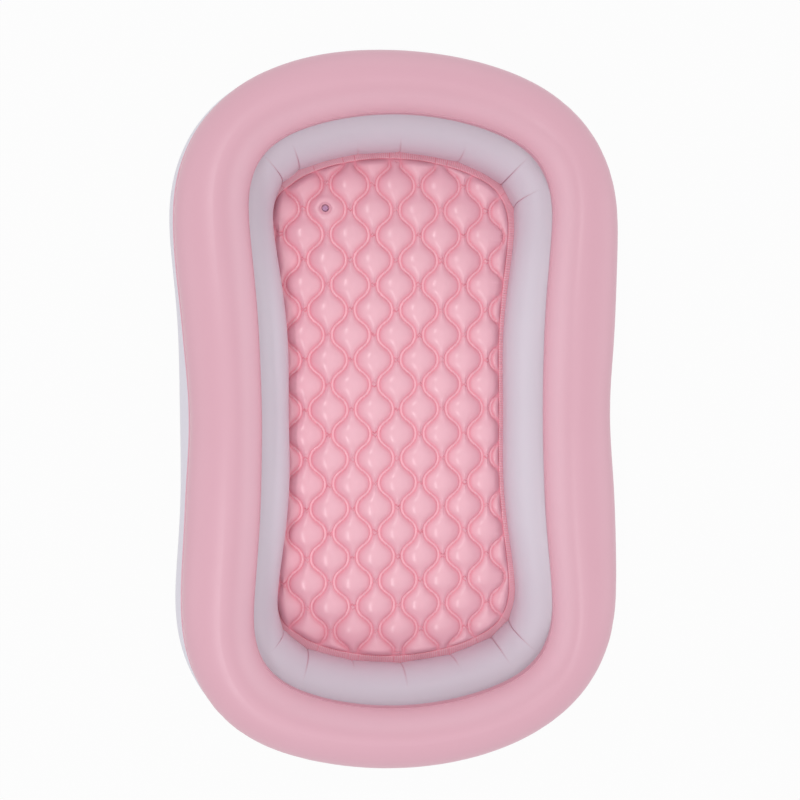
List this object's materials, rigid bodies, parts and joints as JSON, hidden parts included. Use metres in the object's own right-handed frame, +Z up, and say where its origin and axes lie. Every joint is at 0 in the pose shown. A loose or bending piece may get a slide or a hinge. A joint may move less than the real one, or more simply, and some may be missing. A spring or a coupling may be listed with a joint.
{
  "type": "inflatable baby pool",
  "caption": "Oblong inflatable baby pool: a narrow pink ring welded on a wider white ring, a quilted air floor and push-in air valves.",
  "frame": {"origin": "middle of the footprint, on the ground", "axes": "+X across the pool, +Y along it, +Z up"},
  "size_m": [0.8146, 1.2996, 0.245],
  "materials": {
    "pink_ring_vinyl": "satin",
    "white_ring_vinyl": "satin",
    "floor_vinyl": "satin",
    "clear_valve_vinyl": "gloss"
  },
  "bodies": {
    "pool_shell": {"upper_ring_top_sheet": "pink_ring_vinyl", "upper_ring_underside_sheet": "pink_ring_vinyl", "lower_ring_inner_wall": "white_ring_vinyl", "lower_ring_outer_wall": "white_ring_vinyl", "floor_top_sheet": "floor_vinyl", "floor_base_sheet": "floor_vinyl", "floor_valve_base": "clear_valve_vinyl", "upper_ring_valve_base": "clear_valve_vinyl", "lower_ring_valve_base": "clear_valve_vinyl"},
    "floor_neck": {"floor_valve_neck": "clear_valve_vinyl", "floor_valve_strap": "clear_valve_vinyl"},
    "floor_plug": {"floor_valve_plug": "clear_valve_vinyl"},
    "floor_flap": {"floor_valve_flap": "clear_valve_vinyl"},
    "upper_neck": {"upper_ring_valve_neck": "clear_valve_vinyl", "upper_ring_valve_strap": "clear_valve_vinyl"},
    "upper_plug": {"upper_ring_valve_plug": "clear_valve_vinyl"},
    "upper_flap": {"upper_ring_valve_flap": "clear_valve_vinyl"},
    "lower_neck": {"lower_ring_valve_neck": "clear_valve_vinyl", "lower_ring_valve_strap": "clear_valve_vinyl"},
    "lower_plug": {"lower_ring_valve_plug": "clear_valve_vinyl"},
    "lower_flap": {"lower_ring_valve_flap": "clear_valve_vinyl"}
  },
  "joints": [
    {"name": "floor_neck_pop_out", "type": "slide", "parent": "pool_shell", "child": "floor_neck", "axis": [0, 0, 1], "range_m": [0, 0.011]},
    {"name": "floor_plug_pull", "type": "slide", "parent": "floor_neck", "child": "floor_plug", "axis": [0, 0, 1], "range_m": [0, 0.012]},
    {"name": "floor_flap_open", "type": "hinge", "parent": "floor_neck", "child": "floor_flap", "pos_m": [-0.1364, 0.382, 0.0139], "axis": [0, 1, 0], "range_deg": [0, 50], "stiffness_Nm_per_rad": 0.00005},
    {"name": "upper_neck_pop_out", "type": "slide", "parent": "pool_shell", "child": "upper_neck", "axis": [0.9653, 0.0393, -0.2581], "range_m": [0, 0.011]},
    {"name": "upper_plug_pull", "type": "slide", "parent": "upper_neck", "child": "upper_plug", "axis": [0.9653, 0.0393, -0.2581], "range_m": [0, 0.012]},
    {"name": "upper_flap_open", "type": "hinge", "parent": "upper_neck", "child": "upper_flap", "pos_m": [0.34638, -0.18285, 0.18727], "axis": [-0.0511, 0.9979, -0.0393], "range_deg": [0, 50], "stiffness_Nm_per_rad": 0.00005},
    {"name": "lower_neck_pop_out", "type": "slide", "parent": "pool_shell", "child": "lower_neck", "axis": [0.947, 0.0554, 0.3163], "range_m": [0, 0.011]},
    {"name": "lower_plug_pull", "type": "slide", "parent": "lower_neck", "child": "lower_plug", "axis": [0.947, 0.0554, 0.3163], "range_m": [0, 0.012]},
    {"name": "lower_flap_open", "type": "hinge", "parent": "lower_neck", "child": "lower_flap", "pos_m": [0.37641, -0.18115, 0.08673], "axis": [-0.0399, 0.9977, -0.0554], "range_deg": [0, 50], "stiffness_Nm_per_rad": 0.00005}
  ]
}
